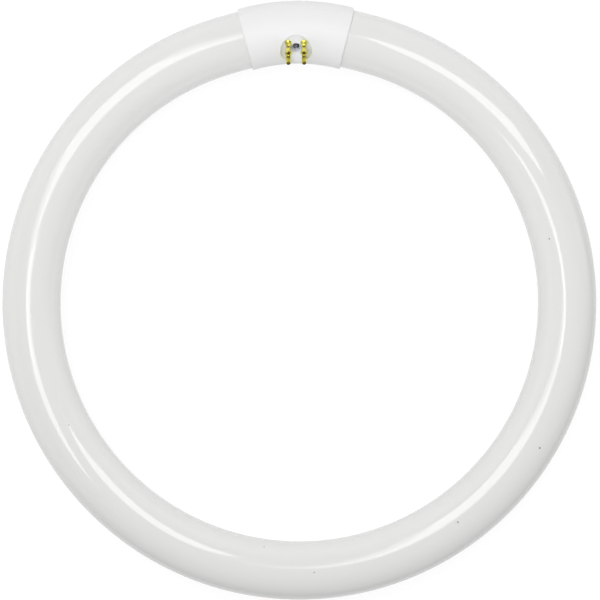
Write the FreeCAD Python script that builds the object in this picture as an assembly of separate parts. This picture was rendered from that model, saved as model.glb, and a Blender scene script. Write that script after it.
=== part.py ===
import FreeCAD, Part
import math
import os

from FreeCAD import Placement, Rotation, Vector

# Circular fluorescent tube: a glass ring whose two sealed ends meet inside a
# moulded base of two shells, with four contact pins in a round recess.
# Millimetres. The ring lies flat, its axis is Z, the base is at +Y, and the
# pins point inwards and up. Z = 0 is the surface that the base lies on.

# Glass ring
RING_OD = 302.4
TUBE_OD = 29.5
TUBE_END_BEND_DEG = 15.0
TUBE_END_GAP = 35.0
TUBE_END_ROUND = 4.0
EXHAUST_TIP_D = 4.0
EXHAUST_TIP_LENGTH = 4.5

# Moulded base
BASE_SPAN = 52.6
BASE_BEND_R = 97.0
BASE_WALL = 0.95
GLASS_CLEARANCE = 0.15
SEAM_GAP = 0.1
BACK_END_LEAN_DEG = 5.3
END_ROUND = 0.65
STOP_RIB_THICKNESS = 1.2
STOP_RIB_HEIGHT = 5.5
STOP_RIB_CLEARANCE = 0.3

# Pin recess, square to the pins
PIN_TILT_DEG = 45.0
RECESS_D = 15.8
RECESS_DEPTH = 2.9
RECESS_FLOOR = 1.5
RECESS_WALL = 1.2
RECESS_RIM_ROUND = 0.4

# Contact pins
PIN_COLUMN_SPACING = 7.92
PIN_ROW_SPACING = 6.35
PIN_D = 2.4
PIN_REACH = 9.3
PIN_TAIL = 2.2
PIN_HOLE_CLEARANCE = 0.04
PIN_COLLAR_D = 3.4
PIN_COLLAR_HEIGHT = 0.6
PIN_COLLAR_TAPER = 0.5
CRIMP_HEIGHT = 3.9
CRIMP_D = 1.4
CRIMP_DEPTH = 0.35

# Base screw, the well that its head lies in, and its bosses
SCREW_HEAD_D = 4.7
SCREW_HEAD_HEIGHT = 1.5
SCREW_HEAD_ROUND = 0.9
SCREW_SHANK_D = 2.9
SCREW_LENGTH = 15.5
SCREW_POINT = 1.2
SCREW_SLOT_WIDTH = 0.8
SCREW_SLOT_LENGTH = 2.8
SCREW_SLOT_DEPTH = 1.0
SCREW_WELL_CLEARANCE = 0.4
SCREW_WELL_DEPTH = 2.7
SCREW_WELL_WALL = 0.7
SCREW_SEAT = 1.4
SCREW_PASS_CLEARANCE = 0.15
SCREW_GRIP_CLEARANCE = 0.05
SCREW_HOLE_SPARE = 1.5
BOSS_WALL = 1.7

# Lead wires from the sealed ends to the pins
WIRE_D = 0.8
WIRE_BORE_CLEARANCE = 0.1
WIRE_BORE_DEPTH = 3.0
WIRE_BORE_SPARE = 0.4
WIRE_PITCH = 6.2
WIRE_STUB = 2.5
WIRE_ELBOW_DROP = 6.5
WIRE_BEND_R = 3.0

# Sizes that follow from the ones above
RING_R = (RING_OD - TUBE_OD) / 2
TUBE_R = TUBE_OD / 2
BORE_R = TUBE_R + GLASS_CLEARANCE
BASE_R = BORE_R + BASE_WALL
AXIS_Z = BASE_R
BEND = math.radians(TUBE_END_BEND_DEG)
TILT = math.radians(PIN_TILT_DEG)
BEND_CENTRE_Y = (RING_R - BASE_BEND_R) / math.cos(BEND)
FLOOR = BASE_R - RECESS_DEPTH
FLOOR_BACK = FLOOR - RECESS_FLOOR
PIN_TAIL_END = FLOOR_BACK - PIN_TAIL
WELL_R = SCREW_HEAD_D / 2 + SCREW_WELL_CLEARANCE
WELL_FLOOR = FLOOR - SCREW_WELL_DEPTH
BOSS_R = SCREW_SHANK_D / 2 + SCREW_PASS_CLEARANCE + BOSS_WALL

X = Vector(1, 0, 0)
Z = Vector(0, 0, 1)
ZERO = Vector(0, 0, 0)
BASE_MIDDLE = Vector(0, BEND_CENTRE_Y + BASE_BEND_R, AXIS_Z)
TANGENT_POINT = Vector(RING_R * math.sin(BEND), RING_R * math.cos(BEND), AXIS_Z)
INWARD = Vector(-math.cos(BEND), math.sin(BEND), 0)
PIN_AXIS = Vector(0, -math.cos(TILT), math.sin(TILT))
ROW_AXIS = Vector(0, math.sin(TILT), math.cos(TILT))
TOUCH = 0.001
SIDES = {"left": -1, "right": 1}
ROWS = {"outer": 1, "inner": -1}


def on_end_axis(x):
    """Point at this x on the straight axis of the right-hand tube end."""
    return TANGENT_POINT + INWARD * ((TANGENT_POINT.x - x) / math.cos(BEND))


BASE_END = on_end_axis(BASE_SPAN / 2)
GLASS_END = on_end_axis(TUBE_END_GAP / 2)
PARTING = (BASE_END - BASE_MIDDLE).dot(PIN_AXIS)


def in_pin_frame(shape):
    """Stand a shape that was built along Z on the pin axis at the base's middle."""
    stand = Placement(BASE_MIDDLE, Rotation(X, 90 - PIN_TILT_DEG))
    shape.Placement = stand.multiply(shape.Placement)
    return shape


def mirrored(shape):
    """The same shape on the other side of the base's middle."""
    return shape.mirror(ZERO, X)


def profile_point(radius, height):
    """Point of a profile that turns about Z."""
    return Vector(radius, 0, height)


def on_round(centre, radius, degrees):
    """Point of a profile's rounding, at an angle above the radius."""
    angle = math.radians(degrees)
    return centre + profile_point(radius * math.cos(angle), radius * math.sin(angle))


def line(start, end):
    """Straight edge."""
    return Part.LineSegment(start, end).toShape()


def quarter_round(centre, radius):
    """Profile edge that turns from the side of a corner to its top."""
    points = [on_round(centre, radius, degrees) for degrees in (0, 45, 90)]
    return Part.Arc(*points).toShape()


def revolved(edges):
    """Solid that a closed profile makes as it turns about Z."""
    return Part.Face(Part.Wire(edges)).revolve(ZERO, Z, 360)


def cylinder(radius, bottom, top):
    """Cylinder about Z between two heights."""
    return Part.makeCylinder(radius, top - bottom, profile_point(0, bottom))


def rod(start, end, radius):
    """Straight round bar between two points."""
    run = end - start
    return Part.makeCylinder(radius, run.Length, start, run)


def round_bar(points, bend_r, radius):
    """Round bar along straight runs that are joined by tangent bends of one radius."""
    pieces = []
    start = points[0]
    for before, here, after in zip(points, points[1:], points[2:]):
        back = (before - here).normalize()
        ahead = (after - here).normalize()
        half = back.getAngle(ahead) / 2
        setback = bend_r / math.tan(half)
        bend_start = here + back * setback
        centre = here + (back + ahead).normalize() * (bend_r / math.sin(half))
        section = Part.Face(Part.Wire(Part.makeCircle(radius, bend_start, back)))
        turn = 180 - math.degrees(2 * half)
        pieces.append(rod(start, bend_start, radius))
        pieces.append(section.revolve(centre, ahead.cross(back), turn))
        start = here + ahead * setback
    pieces.append(rod(start, points[-1], radius))
    return pieces[0].fuse(pieces[1:])


def block_from(point, normal):
    """Large block that starts at a point and fills the side that the normal shows."""
    size = RING_OD
    block = Part.makeBox(size, size, size, Vector(-size / 2, -size / 2, 0))
    block.Placement = Placement(point, Rotation(Z, normal))
    return block


def sealed_end():
    """Straight right-hand tube end: rounded shoulder, flat seal and exhaust tip."""
    length = (GLASS_END - TANGENT_POINT).Length
    tip_r = EXHAUST_TIP_D / 2
    shoulder = profile_point(TUBE_R - TUBE_END_ROUND, length - TUBE_END_ROUND)
    tip = profile_point(0, length + EXHAUST_TIP_LENGTH - tip_r)
    root = profile_point(tip_r, length)
    rim = profile_point(TUBE_R, 0)
    end = revolved([
        line(ZERO, rim),
        line(rim, on_round(shoulder, TUBE_END_ROUND, 0)),
        quarter_round(shoulder, TUBE_END_ROUND),
        line(on_round(shoulder, TUBE_END_ROUND, 90), root),
        line(root, on_round(tip, tip_r, 0)),
        quarter_round(tip, tip_r),
        line(on_round(tip, tip_r, 90), ZERO),
    ])
    end.Placement = Placement(TANGENT_POINT, Rotation(Z, INWARD))
    return end


def glass_tube():
    """Sealed glass ring with its two straight ends."""
    section = Part.Face(Part.Wire(Part.makeCircle(TUBE_R, TANGENT_POINT, INWARD)))
    ring = section.revolve(ZERO, Z, 2 * TUBE_END_BEND_DEG - 360)
    end = sealed_end()
    return ring.fuse([end, mirrored(end)])


def sleeve(radius):
    """Round bar along the base's centre line, with arms that run past its ends."""
    far_end = Vector(-TANGENT_POINT.x, TANGENT_POINT.y, AXIS_Z)
    return round_bar([TANGENT_POINT, on_end_axis(0), far_end], BASE_BEND_R, radius)


def stop_rib():
    """Ring inside the right-hand arm that the glass end stops against."""
    near = STOP_RIB_CLEARANCE
    far = near + STOP_RIB_THICKNESS
    root_r = BORE_R + BASE_WALL / 2
    rib = cylinder(root_r, near, far).cut(cylinder(BORE_R - STOP_RIB_HEIGHT, near, far))
    rib.Placement = Placement(GLASS_END, Rotation(Z, INWARD))
    return rib


def hollow_base():
    """Sleeve with its bore and the two stop ribs, longer than the base."""
    rib = stop_rib()
    outside = sleeve(BASE_R)
    ribs = rib.fuse(mirrored(rib)).common(outside)
    return outside.cut(sleeve(BORE_R)).fuse(ribs)


def middle_of(edge):
    """Point half-way along an edge."""
    return edge.valueAt((edge.FirstParameter + edge.LastParameter) / 2)


def is_outer_end(edge, end_normal):
    """Whether an edge runs round the outside of one of the base's end faces."""
    middle = middle_of(edge)
    reach = Vector(abs(middle.x), middle.y, middle.z) - BASE_END
    from_axis = (reach - INWARD * reach.dot(INWARD)).Length
    return abs(reach.dot(end_normal)) < TOUCH and from_axis > BORE_R + BASE_WALL / 2


def base_between(end_normal):
    """Hollow base between end faces with this outward normal, their outer edges rounded."""
    end = block_from(BASE_END, end_normal)
    base = hollow_base().cut([end, mirrored(end)])
    edges = [edge for edge in base.Edges if is_outer_end(edge, end_normal)]
    return base.makeFillet(END_ROUND, edges)


def is_recess_rim(edge):
    """Whether an edge runs round the mouth of the recess."""
    reach = middle_of(edge) - BASE_MIDDLE
    along = reach.dot(PIN_AXIS)
    from_axis = (reach - PIN_AXIS * along).Length
    on_wall = abs(from_axis - RECESS_D / 2) < TOUCH and along > FLOOR + TOUCH
    return on_wall and not isinstance(edge.Curve, Part.Line)


def recessed(shell):
    """Shell with the round recess let into it, the recess's rim rounded."""
    mouth = BASE_R + RECESS_DEPTH
    cup = in_pin_frame(cylinder(RECESS_D / 2 + RECESS_WALL, FLOOR_BACK, mouth))
    pocket = in_pin_frame(cylinder(RECESS_D / 2, FLOOR, mouth))
    shell = shell.cut(cup).fuse(cup.common(sleeve(BASE_R))).cut(pocket)
    return shell.makeFillet(RECESS_RIM_ROUND, [edge for edge in shell.Edges if is_recess_rim(edge)])


def base_front_shell():
    """Pin-side shell: round recess, pin holes, screw well and half of the screw boss."""
    behind = block_from(BASE_END, -PIN_AXIS)
    shell = recessed(base_between(-INWARD).cut(behind))
    boss = in_pin_frame(cylinder(BOSS_R, PARTING, FLOOR_BACK))
    cup = in_pin_frame(cylinder(WELL_R + SCREW_WELL_WALL, WELL_FLOOR - SCREW_SEAT, FLOOR_BACK))
    holes = [
        cylinder(SCREW_SHANK_D / 2 + SCREW_PASS_CLEARANCE, PARTING, WELL_FLOOR),
        cylinder(WELL_R, WELL_FLOOR, FLOOR),
    ]
    for side in SIDES:
        for row in ROWS:
            hole = cylinder(PIN_D / 2 + PIN_HOLE_CLEARANCE, FLOOR_BACK, FLOOR)
            hole.translate(pin_place(side, row))
            holes.append(hole)
    return shell.fuse([boss, cup]).cut([in_pin_frame(hole) for hole in holes])


def base_back_shell():
    """Shell on the far side of the seam, with the boss that the screw bites into."""
    seam_end = INWARD.cross(PIN_AXIS)
    end_normal = Rotation(seam_end, BACK_END_LEAN_DEG).multVec(-INWARD)
    ahead = block_from(BASE_END - PIN_AXIS * SEAM_GAP, PIN_AXIS)
    shell = base_between(end_normal).cut(ahead)
    boss = in_pin_frame(cylinder(BOSS_R, -BASE_R - BOSS_R, PARTING)).common(sleeve(BASE_R))
    hole_end = WELL_FLOOR - SCREW_LENGTH - SCREW_HOLE_SPARE
    pilot = in_pin_frame(cylinder(SCREW_SHANK_D / 2 + SCREW_GRIP_CLEARANCE, hole_end, PARTING))
    return shell.fuse(boss).cut(pilot)


def pin_place(side, row):
    """Offset of a pin from the middle of the four, square to the pins."""
    return Vector(SIDES[side] * PIN_COLUMN_SPACING / 2, ROWS[row] * PIN_ROW_SPACING / 2, 0)


def contact_pin(side, row):
    """Brass pin: crimp tail with a wire bore, collar on the recess floor, round tip."""
    pin_r = PIN_D / 2
    bore_r = WIRE_D / 2 + WIRE_BORE_CLEARANCE
    collar_r = PIN_COLLAR_D / 2
    bore_end = PIN_TAIL_END + WIRE_BORE_DEPTH
    collar_top = FLOOR + PIN_COLLAR_HEIGHT
    tip = profile_point(0, FLOOR + PIN_REACH - pin_r)
    corners = [
        profile_point(0, bore_end),
        profile_point(bore_r, bore_end),
        profile_point(bore_r, PIN_TAIL_END),
        profile_point(pin_r, PIN_TAIL_END),
        profile_point(pin_r, FLOOR),
        profile_point(collar_r, FLOOR),
        profile_point(collar_r, collar_top),
        profile_point(pin_r, collar_top + PIN_COLLAR_TAPER),
        on_round(tip, pin_r, 0),
    ]
    edges = [line(start, end) for start, end in zip(corners, corners[1:])]
    edges.append(quarter_round(tip, pin_r))
    edges.append(line(on_round(tip, pin_r, 90), corners[0]))
    ball_r = CRIMP_D / 2
    ball_y = pin_r - CRIMP_DEPTH + ball_r
    crimp = Part.makeSphere(ball_r, Vector(0, ball_y, FLOOR + CRIMP_HEIGHT))
    pin = revolved(edges).cut(crimp)
    pin.translate(pin_place(side, row))
    return in_pin_frame(pin)


def base_screw():
    """Round-headed screw with a cross recess that draws the two shells together."""
    head_r = SCREW_HEAD_D / 2
    shank_r = SCREW_SHANK_D / 2
    point = WELL_FLOOR - SCREW_LENGTH
    head_top = WELL_FLOOR + SCREW_HEAD_HEIGHT
    shoulder = profile_point(head_r - SCREW_HEAD_ROUND, head_top - SCREW_HEAD_ROUND)
    corners = [
        profile_point(0, point),
        profile_point(shank_r, point + SCREW_POINT),
        profile_point(shank_r, WELL_FLOOR),
        profile_point(head_r, WELL_FLOOR),
        on_round(shoulder, SCREW_HEAD_ROUND, 0),
    ]
    edges = [line(start, end) for start, end in zip(corners, corners[1:])]
    edges.append(quarter_round(shoulder, SCREW_HEAD_ROUND))
    edges.append(line(on_round(shoulder, SCREW_HEAD_ROUND, 90), profile_point(0, head_top)))
    edges.append(line(profile_point(0, head_top), corners[0]))
    slot = Part.makeBox(SCREW_SLOT_LENGTH, SCREW_SLOT_WIDTH, SCREW_SLOT_DEPTH)
    slot.translate(Vector(-SCREW_SLOT_LENGTH / 2, -SCREW_SLOT_WIDTH / 2, head_top - SCREW_SLOT_DEPTH))
    cross_slot = slot.copy()
    cross_slot.rotate(ZERO, Z, 90)
    return in_pin_frame(revolved(edges).cut([slot, cross_slot]))


def lead_wire(side, row):
    """Wire from a glass end into the bore of a pin's tail."""
    on_seal = INWARD.cross(PIN_AXIS).normalize()
    if on_seal.dot(ROW_AXIS) < 0:
        on_seal = -on_seal
    start = GLASS_END + on_seal * (ROWS[row] * WIRE_PITCH / 2)
    pin_root = BASE_MIDDLE + X * (PIN_COLUMN_SPACING / 2) + ROW_AXIS * (ROWS[row] * PIN_ROW_SPACING / 2)
    wire_end = PIN_TAIL_END + WIRE_BORE_DEPTH - WIRE_BORE_SPARE
    points = [
        start,
        start + INWARD * WIRE_STUB,
        pin_root + PIN_AXIS * (PIN_TAIL_END - WIRE_ELBOW_DROP),
        pin_root + PIN_AXIS * wire_end,
    ]
    wire = round_bar(points, WIRE_BEND_R, WIRE_D / 2)
    return wire if SIDES[side] > 0 else mirrored(wire)


def build():
    """All pieces by name."""
    pieces = {
        "glass_tube": glass_tube(),
        "base_front_shell": base_front_shell(),
        "base_back_shell": base_back_shell(),
        "base_screw": base_screw(),
    }
    for side in SIDES:
        for row in ROWS:
            pieces[f"contact_pin_{row}_{side}"] = contact_pin(side, row)
            pieces[f"lead_wire_{row}_{side}"] = lead_wire(side, row)
    return pieces


def main():
    """Write one STEP file for each piece."""
    os.makedirs("parts", exist_ok=True)
    for name, shape in build().items():
        shape.exportStep(os.path.join("parts", f"{name}.step"))


if __name__ == "__main__":
    main()
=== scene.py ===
import logging
import math
from dataclasses import dataclass, field
from enum import Enum
from typing import Any, Iterable, Mapping, Optional, Union

import bmesh
import bpy
from mathutils import Matrix, Vector


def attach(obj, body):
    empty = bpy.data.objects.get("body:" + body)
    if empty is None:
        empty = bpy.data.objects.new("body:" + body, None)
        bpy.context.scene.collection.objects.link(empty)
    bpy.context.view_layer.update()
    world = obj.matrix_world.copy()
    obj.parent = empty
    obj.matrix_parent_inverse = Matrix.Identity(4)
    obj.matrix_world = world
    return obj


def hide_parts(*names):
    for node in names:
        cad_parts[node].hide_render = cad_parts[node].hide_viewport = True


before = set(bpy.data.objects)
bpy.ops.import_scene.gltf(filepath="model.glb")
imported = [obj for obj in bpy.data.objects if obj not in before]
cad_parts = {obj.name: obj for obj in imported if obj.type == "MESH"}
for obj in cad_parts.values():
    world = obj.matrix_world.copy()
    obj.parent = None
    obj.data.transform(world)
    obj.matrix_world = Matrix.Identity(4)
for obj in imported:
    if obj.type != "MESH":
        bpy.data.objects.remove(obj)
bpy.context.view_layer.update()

LOG = logging.getLogger("ring_lamp")
BODY = "root"

Colour = tuple[float, float, float]
Span = tuple[float, float]
Operand = Union["Signal", float, int, Colour]
Key = Union[str, int]
Settings = Mapping[str, Any]
Sockets = Mapping[Key, Any]

BLACK: Colour = (0.0, 0.0, 0.0)
ORIGIN: Colour = (0.0, 0.0, 0.0)
UP: Colour = (0.0, 0.0, 1.0)


class Slot(Enum):
    """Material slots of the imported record."""

    COATED_GLASS = "coated_glass"
    BASE_PLASTIC = "base_plastic"
    PIN_BRASS = "pin_brass"
    PLATED_STEEL = "plated_steel"
    LEAD_WIRE = "lead_wire"


class Row(Enum):
    """Rows of contact pins, counted from the ring's middle."""

    OUTER = "outer"
    INNER = "inner"


class Side(Enum):
    """Sides of the base's middle, with the base at the top."""

    LEFT = "left"
    RIGHT = "right"


class Signal:
    """Output socket that takes part in Python expressions."""

    def __init__(self, graph: "Graph", socket: bpy.types.NodeSocket) -> None:
        """Keep a socket and the graph that its followers are added to.

        Args:
            graph: Graph that holds the socket's node.
            socket: Output socket that the signal stands for.
        """
        self.graph = graph
        self.socket = socket

    def _joined(self, operation: str, first: Operand, second: Operand) -> "Signal":
        """Add the node that combines two operands.

        Args:
            operation: Name of the sum, as Math, Vector Math and Mix all spell it.
            first: Left operand.
            second: Right operand.

        Returns:
            The result, a colour or a vector where this signal is one.
        """
        if self.socket.type == "RGBA":
            settings = {"data_type": "RGBA", "blend_type": operation}
            sockets = {"Factor_Float": 1.0, "A_Color": first, "B_Color": second}
            return self.graph.signal("ShaderNodeMix", "Result_Color", settings, sockets)
        kind = "ShaderNodeVectorMath" if self.socket.type == "VECTOR" else "ShaderNodeMath"
        output = "Vector" if self.socket.type == "VECTOR" else "Value"
        return self.graph.signal(kind, output, {"operation": operation}, {0: first, 1: second})

    def __add__(self, other: Operand) -> "Signal":
        """Sum."""
        return self._joined("ADD", self, other)

    def __radd__(self, other: Operand) -> "Signal":
        """Sum with a plain value on the left."""
        return self._joined("ADD", other, self)

    def __sub__(self, other: Operand) -> "Signal":
        """Difference."""
        return self._joined("SUBTRACT", self, other)

    def __rsub__(self, other: Operand) -> "Signal":
        """Difference from a plain value."""
        return self._joined("SUBTRACT", other, self)

    def __mul__(self, other: Operand) -> "Signal":
        """Product."""
        return self._joined("MULTIPLY", self, other)

    def __rmul__(self, other: Operand) -> "Signal":
        """Product with a plain value on the left."""
        return self._joined("MULTIPLY", other, self)

    def at_least(self, other: Operand) -> "Signal":
        """The larger of two numbers."""
        return self._joined("MAXIMUM", self, other)

    def stepped(self, low: float, high: float, start: float = 0.0, end: float = 1.0) -> "Signal":
        """Ease a number from one value to another over a span.

        Args:
            low: Number at which the change begins.
            high: Number at which it ends.
            start: Result up to low.
            end: Result from high on.

        Returns:
            The eased number.
        """
        settings = {"interpolation_type": "SMOOTHSTEP"}
        sockets = {"Value": self, "From Min": low, "From Max": high, "To Min": start, "To Max": end}
        return self.graph.signal("ShaderNodeMapRange", "Result", settings, sockets)

    def blend(self, first: Operand, second: Operand) -> "Signal":
        """Mix two colours, with this signal as the share of the second.

        Args:
            first: Colour at 0.
            second: Colour at 1.

        Returns:
            The mixed colour.
        """
        sockets = {"Factor_Float": self, "A_Color": first, "B_Color": second}
        return self.graph.signal("ShaderNodeMix", "Result_Color", {"data_type": "RGBA"}, sockets)

    def _measured(self, operation: str, other: Colour) -> "Signal":
        """Number that Vector Math gives for this vector and a fixed one."""
        settings = {"operation": operation}
        return self.graph.signal("ShaderNodeVectorMath", "Value", settings, {0: self, 1: other})

    def distance_to(self, point: Colour) -> "Signal":
        """Distance from this vector to a fixed point."""
        return self._measured("DISTANCE", point)

    def along(self, direction: Colour) -> "Signal":
        """Length of this vector along a fixed direction."""
        return self._measured("DOT_PRODUCT", direction)


class Graph:
    """Node graph of one finish, light or backdrop."""

    def __init__(self, tree: bpy.types.NodeTree) -> None:
        """Start with an empty graph."""
        self.tree = tree
        tree.nodes.clear()

    @staticmethod
    def _found(sockets: Iterable[bpy.types.NodeSocket], key: Key) -> bpy.types.NodeSocket:
        """Look a socket up by its place, its identifier or its name.

        Args:
            sockets: Inputs or outputs of a node.
            key: Place among them, identifier or name.

        Returns:
            The socket.
        """
        listed = list(sockets)
        if isinstance(key, int):
            return listed[key]
        return next(s for s in listed if key in (s.identifier, s.name))

    def feed(self, socket: bpy.types.NodeSocket, value: Any) -> None:
        """Link a signal to an input socket, or set a plain value on it.

        Args:
            socket: Input socket.
            value: Signal, socket, number, colour or vector.
        """
        if isinstance(value, Signal):
            self.tree.links.new(value.socket, socket)
        elif isinstance(value, bpy.types.NodeSocket):
            self.tree.links.new(value, socket)
        elif socket.type == "RGBA":
            shade = value if isinstance(value, tuple) else (value, value, value)
            socket.default_value = (*shade[:3], 1.0)
        elif socket.type == "VECTOR" and not isinstance(value, tuple):
            socket.default_value = (value, value, value)
        else:
            socket.default_value = value

    def add(self, kind: str, settings: Settings, sockets: Sockets) -> bpy.types.Node:
        """Add any node.

        Args:
            kind: Node type.
            settings: Properties, set first.
            sockets: Values or links of the inputs.

        Returns:
            The node.
        """
        node = self.tree.nodes.new(kind)
        for name, value in settings.items():
            setattr(node, name, value)
        for key, value in sockets.items():
            self.feed(self._found(node.inputs, key), value)
        return node

    def signal(self, kind: str, output: Key, settings: Settings, sockets: Sockets) -> Signal:
        """Add a node and hand on one of its outputs.

        Args:
            kind: Node type.
            output: Which output.
            settings: Properties of the node.
            sockets: Values or links of the inputs.

        Returns:
            The output as a signal.
        """
        node = self.add(kind, settings, sockets)
        return Signal(self, self._found(node.outputs, output))

    def place(self) -> Signal:
        """Point of the surface in the part's own frame, in metres."""
        return self.signal("ShaderNodeTexCoord", "Object", {}, {})

    def noise(self, place: Signal, grain: float, detail: float = 2.0, roughness: float = 0.5) -> Signal:
        """Soft random tone.

        Args:
            place: Point that the tone is read at.
            grain: Size of its features, in metres.
            detail: Number of finer layers.
            roughness: Weight of each finer layer.

        Returns:
            Tone from about 0 to 1, with its middle at a half.
        """
        sockets = {"Vector": place, "Scale": 1.0 / grain, "Detail": detail, "Roughness": roughness}
        return self.signal("ShaderNodeTexNoise", 0, {}, sockets)

    def bump(self, height: Signal, depth: float) -> Signal:
        """Normal of a surface with fine relief.

        Args:
            height: Relief from 0 to 1.
            depth: Depth of the relief in metres.

        Returns:
            The normal.
        """
        sockets = {"Strength": 1.0, "Distance": depth, "Height": height}
        return self.signal("ShaderNodeBump", "Normal", {}, sockets)

    def surface(self, sockets: Sockets) -> None:
        """End the graph in a surface.

        Args:
            sockets: Values and links of the Principled shader.
        """
        shader = self.add("ShaderNodeBsdfPrincipled", {}, sockets)
        self.add("ShaderNodeOutputMaterial", {}, {"Surface": shader.outputs["BSDF"]})


def fresh_material(name: str) -> tuple[bpy.types.Material, Graph]:
    """New material with an empty graph.

    Args:
        name: Name of the material.

    Returns:
        The material and its graph.
    """
    material = bpy.data.materials.new(name)
    material.use_nodes = True
    return material, Graph(material.node_tree)


@dataclass(frozen=True)
class Speck:
    """Dark fleck in the coating, placed on the ring."""

    azimuth: float
    tilt: float
    radius: float
    depth: float

    def point(self, ring_radius: float, tube_radius: float, axis_height: float) -> Colour:
        """Where the fleck lies.

        Args:
            ring_radius: Radius of the ring's centre line.
            tube_radius: Radius of the tube.
            axis_height: Height of the centre line.

        Returns:
            Point on the tube's surface.
        """
        turn, lean = math.radians(self.azimuth), math.radians(self.tilt)
        reach = ring_radius + tube_radius * math.sin(lean)
        return reach * math.cos(turn), reach * math.sin(turn), axis_height + tube_radius * math.cos(lean)


@dataclass(frozen=True)
class CoatedGlass:
    """White powder coating behind clear, glossy glass."""

    colour: Colour = (0.85, 0.86, 0.84)
    fleck_colour: Colour = (0.12, 0.11, 0.10)
    cloud_size: float = 0.045
    cloud_depth: float = 0.035
    powder_size: float = 0.0004
    powder_depth: float = 0.03
    roughness: float = 0.5
    powder_roughness: float = 0.1
    gloss_roughness: float = 0.05
    glass_index: float = 1.5
    fleck_edge: Span = (0.5, 1.2)
    specks: tuple[Speck, ...] = (
        Speck(13.6, -27.8, 0.00042, 0.8),
        Speck(-31.9, 17.7, 0.00050, 0.9),
        Speck(-54.9, -2.8, 0.00050, 0.85),
        Speck(-47.3, 67.8, 0.00050, 0.6),
        Speck(-152.8, -21.6, 0.00042, 0.5),
        Speck(-99.0, -54.7, 0.00042, 0.5),
        Speck(-87.6, -3.9, 0.00042, 0.6),
        Speck(30.1, 55.6, 0.00040, 0.35),
    )

    def material(self, spots: Iterable[tuple[Colour, Speck]]) -> bpy.types.Material:
        """Make the finish.

        Args:
            spots: Place and fleck, one for each speck.

        Returns:
            The material.
        """
        material, graph = fresh_material(Slot.COATED_GLASS.value)
        place = graph.place()
        cloud = graph.noise(place, self.cloud_size, 3.0) - 0.5
        powder = graph.noise(place, self.powder_size, 2.0) - 0.5
        tone = 1.0 + cloud * self.cloud_depth + powder * self.powder_depth
        fleck: Optional[Signal] = None
        for point, speck in spots:
            edge = place.distance_to(point) + powder * speck.radius
            fade = (speck.radius * share for share in self.fleck_edge)
            mark = edge.stepped(*fade, speck.depth, 0.0)
            fleck = mark if fleck is None else fleck.at_least(mark)
        graph.surface({
            "Base Color": fleck.blend(tone.blend(BLACK, self.colour), self.fleck_colour),
            "Roughness": self.roughness + powder * self.powder_roughness,
            "Specular IOR Level": 0.0,
            "Coat Weight": 1.0,
            "Coat Roughness": self.gloss_roughness,
            "Coat IOR": self.glass_index,
        })
        return material


@dataclass(frozen=True)
class MouldedPlastic:
    """White moulded plastic with a satin skin."""

    colour: Colour = (0.912, 0.919, 0.913)
    flow_size: float = 0.012
    flow_depth: float = 0.02
    skin_size: float = 0.00035
    skin_depth: float = 0.015
    skin_relief: float = 0.000004
    roughness: float = 0.5
    flow_roughness: float = 0.08
    skin_roughness: float = 0.06
    index: float = 1.5

    def material(self) -> bpy.types.Material:
        """Make the finish.

        Returns:
            The material.
        """
        material, graph = fresh_material(Slot.BASE_PLASTIC.value)
        place = graph.place()
        flow = graph.noise(place, self.flow_size, 2.0) - 0.5
        skin = graph.noise(place, self.skin_size, 3.0, 0.6)
        tone = 1.0 + flow * self.flow_depth + (skin - 0.5) * self.skin_depth
        graph.surface({
            "Base Color": tone.blend(BLACK, self.colour),
            "Roughness": self.roughness + flow * self.flow_roughness + (skin - 0.5) * self.skin_roughness,
            "IOR": self.index,
            "Normal": graph.bump(skin, self.skin_relief),
        })
        return material


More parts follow.
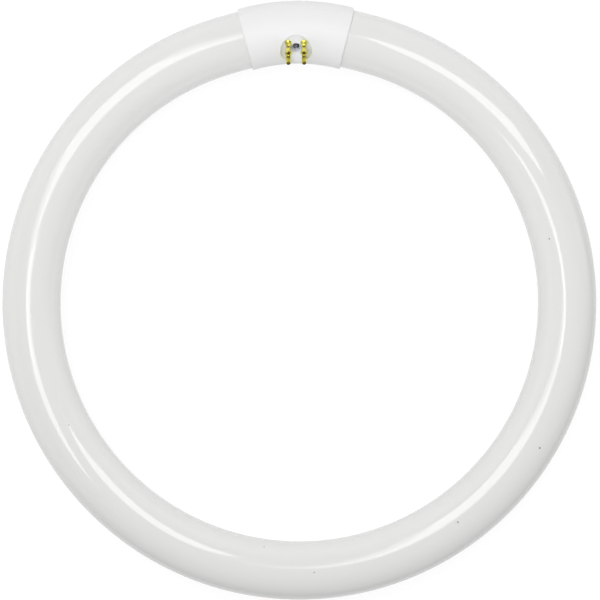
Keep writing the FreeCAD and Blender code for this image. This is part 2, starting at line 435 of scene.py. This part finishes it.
@dataclass(frozen=True)
class PinBrass:
    """Bright drawn brass, tarnished in blotches, darker towards the tips, with painted shade in the crimp
    dimples.
    """

    colour: Colour = (0.90, 0.83, 0.15)
    tarnish: Colour = (0.52, 0.38, 0.06)
    # Colour of the darkening towards the tips and of the painted shade in the crimp dimples.
    tip_dark_and_crimp_shade: Colour = (0.10, 0.055, 0.012)
    blotch_size: float = 0.0016
    blotch_span: Span = (0.48, 0.74)
    blotch_share: float = 0.5
    draw_size: float = 0.00009
    draw_relief: float = 0.0000015
    roughness: float = 0.12
    blotch_roughness: float = 0.12
    draw_roughness: float = 0.08
    # Extra roughness and depth of the darkening at the tips and of the painted shade at the crimps.
    tip_dark_and_crimp_shade_roughness: float = 0.25
    tip_dark_and_crimp_shade_depth: float = 0.9
    tip_length: float = 0.0008
    tip_fade: float = 0.4
    # Size, soft edge and ragged rim of the painted shade round each crimp dimple.
    crimp_radius: float = 0.0009
    crimp_edge: Span = (0.6, 1.3)
    crimp_rag: float = 0.5

    def material(self, axis: Colour, tip: float, crimps: Iterable[Colour]) -> bpy.types.Material:
        """Make the finish.

        Args:
            axis: Direction that the pins point in.
            tip: Place of the tips along that direction.
            crimps: Middles of the painted shade at the crimp dimples.

        Returns:
            The material.
        """
        material, graph = fresh_material(Slot.PIN_BRASS.value)
        place = graph.place()
        scratch = graph.noise(place, self.draw_size, 2.0)
        mottle = graph.noise(place, self.blotch_size, 3.0, 0.6)
        blotch = mottle.stepped(*self.blotch_span)
        # Darker towards the tips, with a ragged edge.
        ragged = place.along(axis) + (mottle - 0.5) * self.tip_length
        tip_dark_start, tip_dark_full = tip - self.tip_length, tip - self.tip_length * self.tip_fade
        dark = ragged.stepped(tip_dark_start, tip_dark_full, 0.0, self.tip_dark_and_crimp_shade_depth)
        # Painted shade of each crimp dimple's hollow: a dark spot round the crimp.
        for crimp in crimps:
            reach = place.distance_to(crimp) + (scratch - 0.5) * self.crimp_radius * self.crimp_rag
            fade = (self.crimp_radius * share for share in self.crimp_edge)
            dark = dark.at_least(reach.stepped(*fade, self.tip_dark_and_crimp_shade_depth, 0.0))
        worn = blotch * self.blotch_roughness + (scratch - 0.5) * self.draw_roughness
        metal = (blotch * self.blotch_share).blend(self.colour, self.tarnish)
        graph.surface({
            # Metal, darkened towards the tips and with painted shade at the crimps.
            "Base Color": dark.blend(metal, self.tip_dark_and_crimp_shade),
            "Metallic": 1.0,
            "Roughness": self.roughness + worn + dark * self.tip_dark_and_crimp_shade_roughness,
            "Normal": graph.bump(scratch, self.draw_relief),
        })
        return material


@dataclass(frozen=True)
class PlatedSteel:
    """Bright plated steel."""

    colour: Colour = (0.74, 0.745, 0.74)
    shade: Colour = (0.50, 0.50, 0.48)
    haze_size: float = 0.0018
    haze_span: Span = (0.42, 0.78)
    haze_share: float = 0.5
    scratch_size: float = 0.00012
    scratch_relief: float = 0.000001
    roughness: float = 0.12
    haze_roughness: float = 0.12
    scratch_roughness: float = 0.06

    def material(self) -> bpy.types.Material:
        """Make the finish.

        Returns:
            The material.
        """
        material, graph = fresh_material(Slot.PLATED_STEEL.value)
        place = graph.place()
        haze = graph.noise(place, self.haze_size, 3.0, 0.6).stepped(*self.haze_span)
        scratch = graph.noise(place, self.scratch_size, 2.0)
        worn = haze * self.haze_roughness + (scratch - 0.5) * self.scratch_roughness
        graph.surface({
            "Base Color": (haze * self.haze_share).blend(self.colour, self.shade),
            "Metallic": 1.0,
            "Roughness": self.roughness + worn,
            "Normal": graph.bump(scratch, self.scratch_relief),
        })
        return material


@dataclass(frozen=True)
class BareWire:
    """Dull drawn wire."""

    colour: Colour = (0.58, 0.56, 0.53)
    shade: Colour = (0.36, 0.33, 0.30)
    dull_size: float = 0.0012
    dull_span: Span = (0.4, 0.75)
    dull_share: float = 0.7
    roughness: float = 0.32
    dull_roughness: float = 0.2

    def material(self) -> bpy.types.Material:
        """Make the finish.

        Returns:
            The material.
        """
        material, graph = fresh_material(Slot.LEAD_WIRE.value)
        place = graph.place()
        dull = graph.noise(place, self.dull_size, 3.0).stepped(*self.dull_span)
        graph.surface({
            "Base Color": (dull * self.dull_share).blend(self.colour, self.shade),
            "Metallic": 1.0,
            "Roughness": self.roughness + dull * self.dull_roughness,
        })
        return material


def dress_node(name: str, material: bpy.types.Material) -> None:
    """Give a carried-over solid its finish.

    Args:
        name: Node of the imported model.
        material: Finish.
    """
    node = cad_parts[name]
    if not node.material_slots:
        node.data.materials.append(material)
    for slot in node.material_slots:
        slot.material = material
    LOG.info("%s: %s", name, material.name)


@dataclass(frozen=True)
class Station:
    """Round section of the tube."""

    centre: Vector
    outward: Vector
    radius: float


@dataclass
class GlassRing:
    """Sealed glass tube bent to a ring, with two straight ends inside the base."""

    ring_radius: float = 0.13645
    tube_radius: float = 0.01474
    axis_height: float = 0.01585
    end_bend: float = math.radians(15.0)
    half_gap: float = 0.0175
    shoulder: float = 0.004
    tip_radius: float = 0.002
    tip_length: float = 0.0045
    straight_shares: Span = (0.25, 0.5)
    around: int = 80
    along: int = 420
    round_steps: int = 6
    finish: CoatedGlass = field(default_factory=CoatedGlass)

    def _outward(self, angle: float) -> Vector:
        """Direction from the ring's axis at an azimuth."""
        return Vector((math.cos(angle), math.sin(angle), 0.0))

    def _end_profile(self) -> list[Span]:
        """Shape of a sealed end, from the bend to its tip.

        Returns:
            Distance past the bend and radius of each section.
        """
        span = self.ring_radius * math.sin(self.end_bend) - self.half_gap
        length = span / math.cos(self.end_bend)
        waist = self.tube_radius - self.shoulder
        profile = [(length * share, self.tube_radius) for share in self.straight_shares]
        for step in range(self.round_steps + 1):
            turn = math.pi / 2 * step / self.round_steps
            height = length - self.shoulder * (1.0 - math.sin(turn))
            profile.append((height, waist + self.shoulder * math.cos(turn)))
        profile.append((length, self.tip_radius))
        for step in range(self.round_steps + 1):
            turn = math.pi / 2 * step / self.round_steps
            height = length + self.tip_length - self.tip_radius * (1.0 - math.sin(turn))
            profile.append((height, self.tip_radius * math.cos(turn) if step < self.round_steps else 0.0))
        return profile

    def stations(self) -> list[Station]:
        """Sections from one sealed tip, round the ring, to the other.

        Returns:
            The sections in order.
        """
        height = Vector((0.0, 0.0, self.axis_height))
        first = math.pi / 2 + self.end_bend
        last = math.pi * 5 / 2 - self.end_bend
        ring = []
        for step in range(self.along + 1):
            outward = self._outward(first + (last - first) * step / self.along)
            ring.append(Station(outward * self.ring_radius + height, outward, self.tube_radius))
        ends = []
        for station, sign in ((ring[0], -1.0), (ring[-1], 1.0)):
            ahead = Vector((-station.outward.y, station.outward.x, 0.0)) * sign
            ends.append([
                Station(station.centre + ahead * distance, station.outward, radius)
                for distance, radius in self._end_profile()
            ])
        return ends[0][::-1] + ring + ends[1]

    def _section(self, mesh: bmesh.types.BMesh, station: Station) -> list[bmesh.types.BMVert]:
        """Points of one section, or its one point where the tube closes.

        Args:
            mesh: Mesh that takes the points.
            station: Section.

        Returns:
            The points in order.
        """
        if station.radius == 0.0:
            return [mesh.verts.new(station.centre)]
        points = []
        for step in range(self.around):
            turn = 2 * math.pi * step / self.around
            reach = station.outward * math.cos(turn) + Vector((0.0, 0.0, math.sin(turn)))
            points.append(mesh.verts.new(station.centre + reach * station.radius))
        return points

    def build(self) -> bpy.types.Object:
        """Sweep the tube.

        Returns:
            The piece, in place of the plain solid.
        """
        mesh = bmesh.new()
        sections = [self._section(mesh, station) for station in self.stations()]
        for before, after in zip(sections, sections[1:]):
            for step in range(self.around):
                corners = []
                for section, place in ((before, step), (before, step + 1), (after, step + 1), (after, step)):
                    point = section[place % len(section)]
                    if point not in corners:
                        corners.append(point)
                mesh.faces.new(corners)
        bmesh.ops.recalc_face_normals(mesh, faces=mesh.faces)
        for face in mesh.faces:
            face.smooth = True
        data = bpy.data.meshes.new("glass_ring")
        mesh.to_mesh(data)
        mesh.free()
        piece = bpy.data.objects.new("glass_ring", data)
        bpy.context.scene.collection.objects.link(piece)
        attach(piece, BODY)
        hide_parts("glass_tube")
        LOG.info("%s: %d faces", piece.name, len(data.polygons))
        return piece

    def dress(self, piece: bpy.types.Object) -> None:
        """Give the tube its coating and flecks.

        Args:
            piece: The swept tube.
        """
        sizes = (self.ring_radius, self.tube_radius, self.axis_height)
        spots = [(speck.point(*sizes), speck) for speck in self.finish.specks]
        piece.data.materials.append(self.finish.material(spots))


@dataclass
class MouldedBase:
    """Two plastic shells that hold the tube's ends, drawn together by a screw."""

    shells: tuple[str, ...] = ("base_front_shell", "base_back_shell")
    screw: str = "base_screw"
    plastic: MouldedPlastic = field(default_factory=MouldedPlastic)
    plating: PlatedSteel = field(default_factory=PlatedSteel)

    def dress(self) -> None:
        """Give the shells and the screw their finishes."""
        plastic = self.plastic.material()
        for shell in self.shells:
            dress_node(shell, plastic)
        dress_node(self.screw, self.plating.material())


@dataclass
class Contacts:
    """Four contact pins and the wires that reach them."""

    middle: Vector = field(default_factory=lambda: Vector((0.0, 0.13784, 0.01585)))
    tilt: float = math.radians(45.0)
    column_spacing: float = 0.00792
    row_spacing: float = 0.00635
    tip_reach: float = 0.02225
    # Place of the painted shade at the crimp dimples, along the pins and up their sides.
    crimp_reach: float = 0.0179
    crimp_rise: float = 0.00095
    brass: PinBrass = field(default_factory=PinBrass)
    wire: BareWire = field(default_factory=BareWire)

    def _crimps(self, axis: Vector) -> list[Colour]:
        """Middles of the painted shade at the four crimp dimples, on the pins' upper sides.

        Args:
            axis: Direction that the pins point in.

        Returns:
            The points.
        """
        rise = Vector((0.0, axis.z, -axis.y))
        points = []
        for row in (-0.5, 0.5):
            for column in (-0.5, 0.5):
                offset = rise * (self.row_spacing * row + self.crimp_rise) + axis * self.crimp_reach
                point = self.middle + offset
                point.x += self.column_spacing * column
                points.append(tuple(point))
        return points

    def dress(self) -> None:
        """Give the pins and wires their finishes."""
        axis = Vector((0.0, -math.cos(self.tilt), math.sin(self.tilt)))
        tip = self.middle.dot(axis) + self.tip_reach
        brass = self.brass.material(tuple(axis), tip, self._crimps(axis))
        wire = self.wire.material()
        for row in Row:
            for side in Side:
                dress_node(f"contact_pin_{row.value}_{side.value}", brass)
                dress_node(f"lead_wire_{row.value}_{side.value}", wire)


@dataclass(frozen=True)
class Softbox:
    """Flat lamp that faces a point of the floor."""

    name: str
    place: Colour
    turn: float
    width: float
    depth: float
    radiance: float
    aim: Colour = ORIGIN

    def build(self) -> None:
        """Hang the lamp, with its width along the turn."""
        lamp = bpy.data.lights.new(self.name, "AREA")
        lamp.shape = "RECTANGLE"
        lamp.size, lamp.size_y = self.width, self.depth
        lamp.energy = self.radiance * math.pi * self.width * self.depth
        holder = bpy.data.objects.new(self.name, lamp)
        back = (Vector(self.place) - Vector(self.aim)).normalized()
        turn = math.radians(self.turn)
        level = Vector((math.cos(turn), math.sin(turn), 0.0))
        across = (level - back * level.dot(back)).normalized()
        axes = Matrix((across, back.cross(across), back)).transposed()
        holder.rotation_euler = axes.to_euler()
        holder.location = self.place
        holder.visible_camera = False
        bpy.context.scene.collection.objects.link(holder)
        LOG.info("%s: %.1f W", self.name, lamp.energy)


@dataclass(frozen=True)
class RecessSpot:
    """Narrow, cool spot that shines into the pin recess from above."""

    name: str = "lamp_recess"
    place: Colour = (-0.042, 0.077, 0.318)
    aim: Colour = (0.0, 0.1287, 0.0250)
    beam_radius: float = 0.0072
    edge: float = 0.2
    lamp_radius: float = 0.002
    tint: Colour = (0.53, 0.60, 1.0)
    radiance: float = 0.22

    def build(self) -> None:
        """Hang the spot, with a beam as wide as the recess."""
        ray = Vector(self.place) - Vector(self.aim)
        lamp = bpy.data.lights.new(self.name, "SPOT")
        lamp.energy = 4 * math.pi**2 * self.radiance * ray.length_squared
        lamp.color = self.tint
        lamp.spot_size = 2 * math.atan(self.beam_radius / ray.length)
        lamp.spot_blend = self.edge
        lamp.shadow_soft_size = self.lamp_radius
        holder = bpy.data.objects.new(self.name, lamp)
        holder.location = self.place
        holder.rotation_euler = ray.to_track_quat("Z", "Y").to_euler()
        holder.visible_camera = False
        bpy.context.scene.collection.objects.link(holder)
        LOG.info("%s: %.2f W", self.name, lamp.energy)


@dataclass
class Studio:
    """White paper floor, four soft lamps, a spot, and a room with pale walls and a dim ceiling."""

    floor_radius: float = 30.0
    floor_sides: int = 96
    floor_height: float = -0.0002
    floor_bounce: float = 0.70
    floor_glow: float = 0.90
    floor_shade: float = 0.15
    table_side: Colour = (0.5, -0.87, 0.0)
    table_fade: Span = (-0.02, 0.10)
    table_edge: Span = (0.14, 0.17)
    table_bounce: float = 0.27
    mirror_edge: Span = (0.18, 0.215)
    table_gleam: float = 0.1
    horizon: float = 0.965
    zenith: float = 0.34
    ceiling: Span = (0.1, 0.75)
    near_side: Colour = (0.55, -0.83, 0.0)
    near_gain: float = 0.08
    near_lift: float = 0.12
    mirror_zenith: float = 0.08
    mirror_side: Colour = (0.35, -0.94, 0.0)
    mirror_fade: Span = (0.1, 0.55)
    dark_side: float = 0.08
    lamps: tuple[Softbox, ...] = (
        Softbox("lamp_right", (0.31, 0.28, 0.86), -8.0, 0.59, 0.30, 4.2, (1.1, -0.7, 0.0)),
        Softbox("lamp_left", (-0.37, 0.37, 1.20), 130.0, 0.80, 0.62, 2.25),
        Softbox("lamp_left_core", (-0.37, 0.38, 1.17), 131.0, 0.72, 0.38, 2.1),
        Softbox("lamp_near", (-0.36, -0.085, 1.30), 80.0, 0.38, 0.75, 4.0, (-2.35, 2.15, 0.0)),
    )
    spot: RecessSpot = field(default_factory=RecessSpot)

    def build(self) -> None:
        """Set up the floor, the lamps, the spot and the room."""
        self._build_floor()
        for lamp in self.lamps:
            lamp.build()
        self.spot.build()
        self._build_room()

    def _build_floor(self) -> None:
        """Lay the floor: white to look at, with the part's shadow, and darker on the near side."""
        mesh = bmesh.new()
        bmesh.ops.create_circle(mesh, cap_ends=True, segments=self.floor_sides, radius=self.floor_radius)
        data = bpy.data.meshes.new("floor")
        mesh.to_mesh(data)
        mesh.free()
        floor = bpy.data.objects.new("floor", data)
        floor.location.z = self.floor_height
        bpy.context.scene.collection.objects.link(floor)
        material, graph = fresh_material("floor_paper")
        path = graph.add("ShaderNodeLightPath", {}, {})
        camera = Signal(graph, path.outputs["Is Camera Ray"])
        glossy = Signal(graph, path.outputs["Is Glossy Ray"])
        through = Signal(graph, path.outputs["Is Transmission Ray"])
        seen = camera.at_least(glossy).at_least(through)
        place = graph.place()
        away = place.along(self.table_side).stepped(*self.table_fade)
        reach = place.distance_to(ORIGIN)
        table = reach.stepped(*self.table_edge) * away
        mirrored = glossy * away * reach.stepped(*self.mirror_edge)
        returned = table.blend(self.floor_bounce, self.table_bounce)
        strength = self.floor_glow + mirrored * (self.table_gleam - self.floor_glow)
        bounce = graph.add("ShaderNodeBsdfDiffuse", {}, {"Color": returned})
        shade = graph.add("ShaderNodeBsdfDiffuse", {}, {"Color": self.floor_shade})
        glow = graph.add("ShaderNodeEmission", {}, {"Color": 1.0, "Strength": strength})
        look = graph.add("ShaderNodeAddShader", {}, {0: shade.outputs[0], 1: glow.outputs[0]})
        both = graph.add("ShaderNodeMixShader", {}, {0: seen, 1: bounce.outputs[0], 2: look.outputs[0]})
        graph.add("ShaderNodeOutputMaterial", {}, {"Surface": both.outputs[0]})
        data.materials.append(material)

    def _build_room(self) -> None:
        """Light the room; reflections show its near side and its ceiling dark."""
        world = bpy.data.worlds.new("room")
        world.use_nodes = True
        bpy.context.scene.world = world
        graph = Graph(world.node_tree)
        gaze = graph.signal("ShaderNodeTexCoord", "Generated", {}, {})
        rise = gaze.along(UP)
        near = gaze.along(self.near_side)
        walls = self.horizon + near * self.near_gain
        high = (rise - near * self.near_lift).stepped(*self.ceiling)
        lit = walls + high * (self.zenith - walls)
        away = gaze.along(self.mirror_side).stepped(*self.mirror_fade, 1.0, self.dark_side)
        overhead = rise.stepped(*self.ceiling)
        shown = away * (self.horizon + overhead * (self.mirror_zenith - self.horizon))
        mirrored = graph.signal("ShaderNodeLightPath", "Is Glossy Ray", {}, {})
        level = lit + mirrored * (shown - lit)
        sky = graph.add("ShaderNodeBackground", {}, {"Color": 1.0, "Strength": level})
        graph.add("ShaderNodeOutputWorld", {}, {"Surface": sky.outputs[0]})


@dataclass
class PhotoCamera:
    """Camera straight above the ring."""

    height: float = 0.91585
    lens: float = 105.95
    sensor_width: float = 36.0
    roll: float = math.radians(-0.75)
    shift_x: float = 0.001
    shift_y: float = 0.0045

    def build(self) -> None:
        """Set the camera up as the scene's own."""
        data = bpy.data.cameras.new("camera")
        data.lens = self.lens
        data.sensor_width = self.sensor_width
        data.shift_x, data.shift_y = self.shift_x, self.shift_y
        camera = bpy.data.objects.new("camera", data)
        camera.location = (0.0, 0.0, self.height)
        camera.rotation_euler = (0.0, 0.0, self.roll)
        bpy.context.scene.collection.objects.link(camera)
        bpy.context.scene.camera = camera


def main() -> None:
    """Build and dress the lamp, then its studio."""
    logging.basicConfig(level=logging.INFO, format="%(name)s %(message)s")
    ring = GlassRing()
    ring.dress(ring.build())
    MouldedBase().dress()
    Contacts().dress()
    Studio().build()
    PhotoCamera().build()
    bpy.context.scene.view_settings.view_transform = "Standard"


if __name__ == "__main__":
    main()
